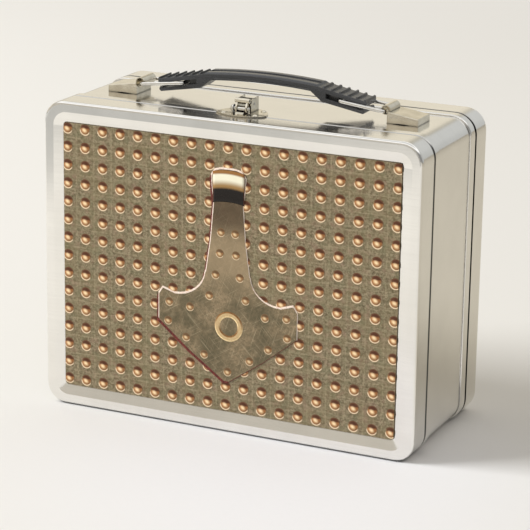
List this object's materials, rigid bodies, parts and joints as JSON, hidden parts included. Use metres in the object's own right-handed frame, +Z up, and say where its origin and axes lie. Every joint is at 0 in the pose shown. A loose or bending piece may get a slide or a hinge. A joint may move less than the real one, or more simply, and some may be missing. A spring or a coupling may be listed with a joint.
{
  "type": "metal lunch box",
  "caption": "Rectangular sheet-metal lunch box with a bottom-hinged front lid, a top latch, a printed panel in a recess and a lifting arched carrying handle.",
  "frame": {"origin": "centre of the footprint on the plane the closed box stands on", "axes": "+X to the right seen from the lid, -Y out of the lid's face, +Z up towards the handle"},
  "size_m": [0.222, 0.096, 0.1909],
  "materials": {
    "tin_plate": "satin brushed tinplate",
    "printed_panel": "gloss printed sheet",
    "black_plastic": "satin moulded black",
    "bright_wire": "bright plated wire",
    "nickel_sheet": "nickel plated, lightly brushed",
    "zinc_sheet": "zinc plated"
  },
  "bodies": {
    "box": {"body_band": "tin_plate", "rear_cover": "tin_plate", "hinge_body_leaf": "zinc_sheet", "hinge_pin": "zinc_sheet", "handle_bracket_left": "nickel_sheet", "handle_bracket_right": "nickel_sheet", "backing_plate_left": "zinc_sheet", "backing_plate_right": "zinc_sheet", "latch_base_plate": "nickel_sheet", "latch_base_rivets": "nickel_sheet", "latch_pivot_pin": "bright_wire"},
    "lid": {"front_lid": "tin_plate", "picture_panel": "printed_panel", "hinge_lid_leaf": "zinc_sheet", "latch_catch_plate": "nickel_sheet", "latch_catch_rivets": "nickel_sheet"},
    "latch": {"latch_lever": "nickel_sheet", "latch_hook_pin": "bright_wire"},
    "grip": {"handle_grip": "black_plastic"},
    "left_bail": {"bail_left": "bright_wire"},
    "right_bail": {"bail_right": "bright_wire"}
  },
  "joints": [
    {"name": "lid_hinge", "type": "hinge", "parent": "box", "child": "lid", "pos_m": [0, -0.0309, 0.0013], "axis": [1, 0, 0], "range_deg": [0, 100]},
    {"name": "latch_pivot", "type": "hinge", "parent": "box", "child": "latch", "pos_m": [0, -0.0235, 0.1789], "axis": [-1, 0, 0], "range_deg": [0, 70]},
    {"name": "handle_lift", "type": "slide", "parent": "box", "child": "grip", "axis": [0, 0, 1], "range_m": [0, 0.015]},
    {"name": "left_bail_pivot", "type": "hinge", "parent": "box", "child": "left_bail", "pos_m": [-0.07245, 0, 0.17905], "axis": [0, -1, 0], "range_deg": [0, 36]},
    {"name": "right_bail_pivot", "type": "hinge", "parent": "box", "child": "right_bail", "pos_m": [0.07245, 0, 0.17905], "axis": [0, 1, 0], "range_deg": [0, 36]}
  ],
  "couplings": [
    {"joint": "left_bail_pivot", "follows": "handle_lift", "rad_per_m": 39.4},
    {"joint": "right_bail_pivot", "follows": "handle_lift", "rad_per_m": 39.4}
  ]
}
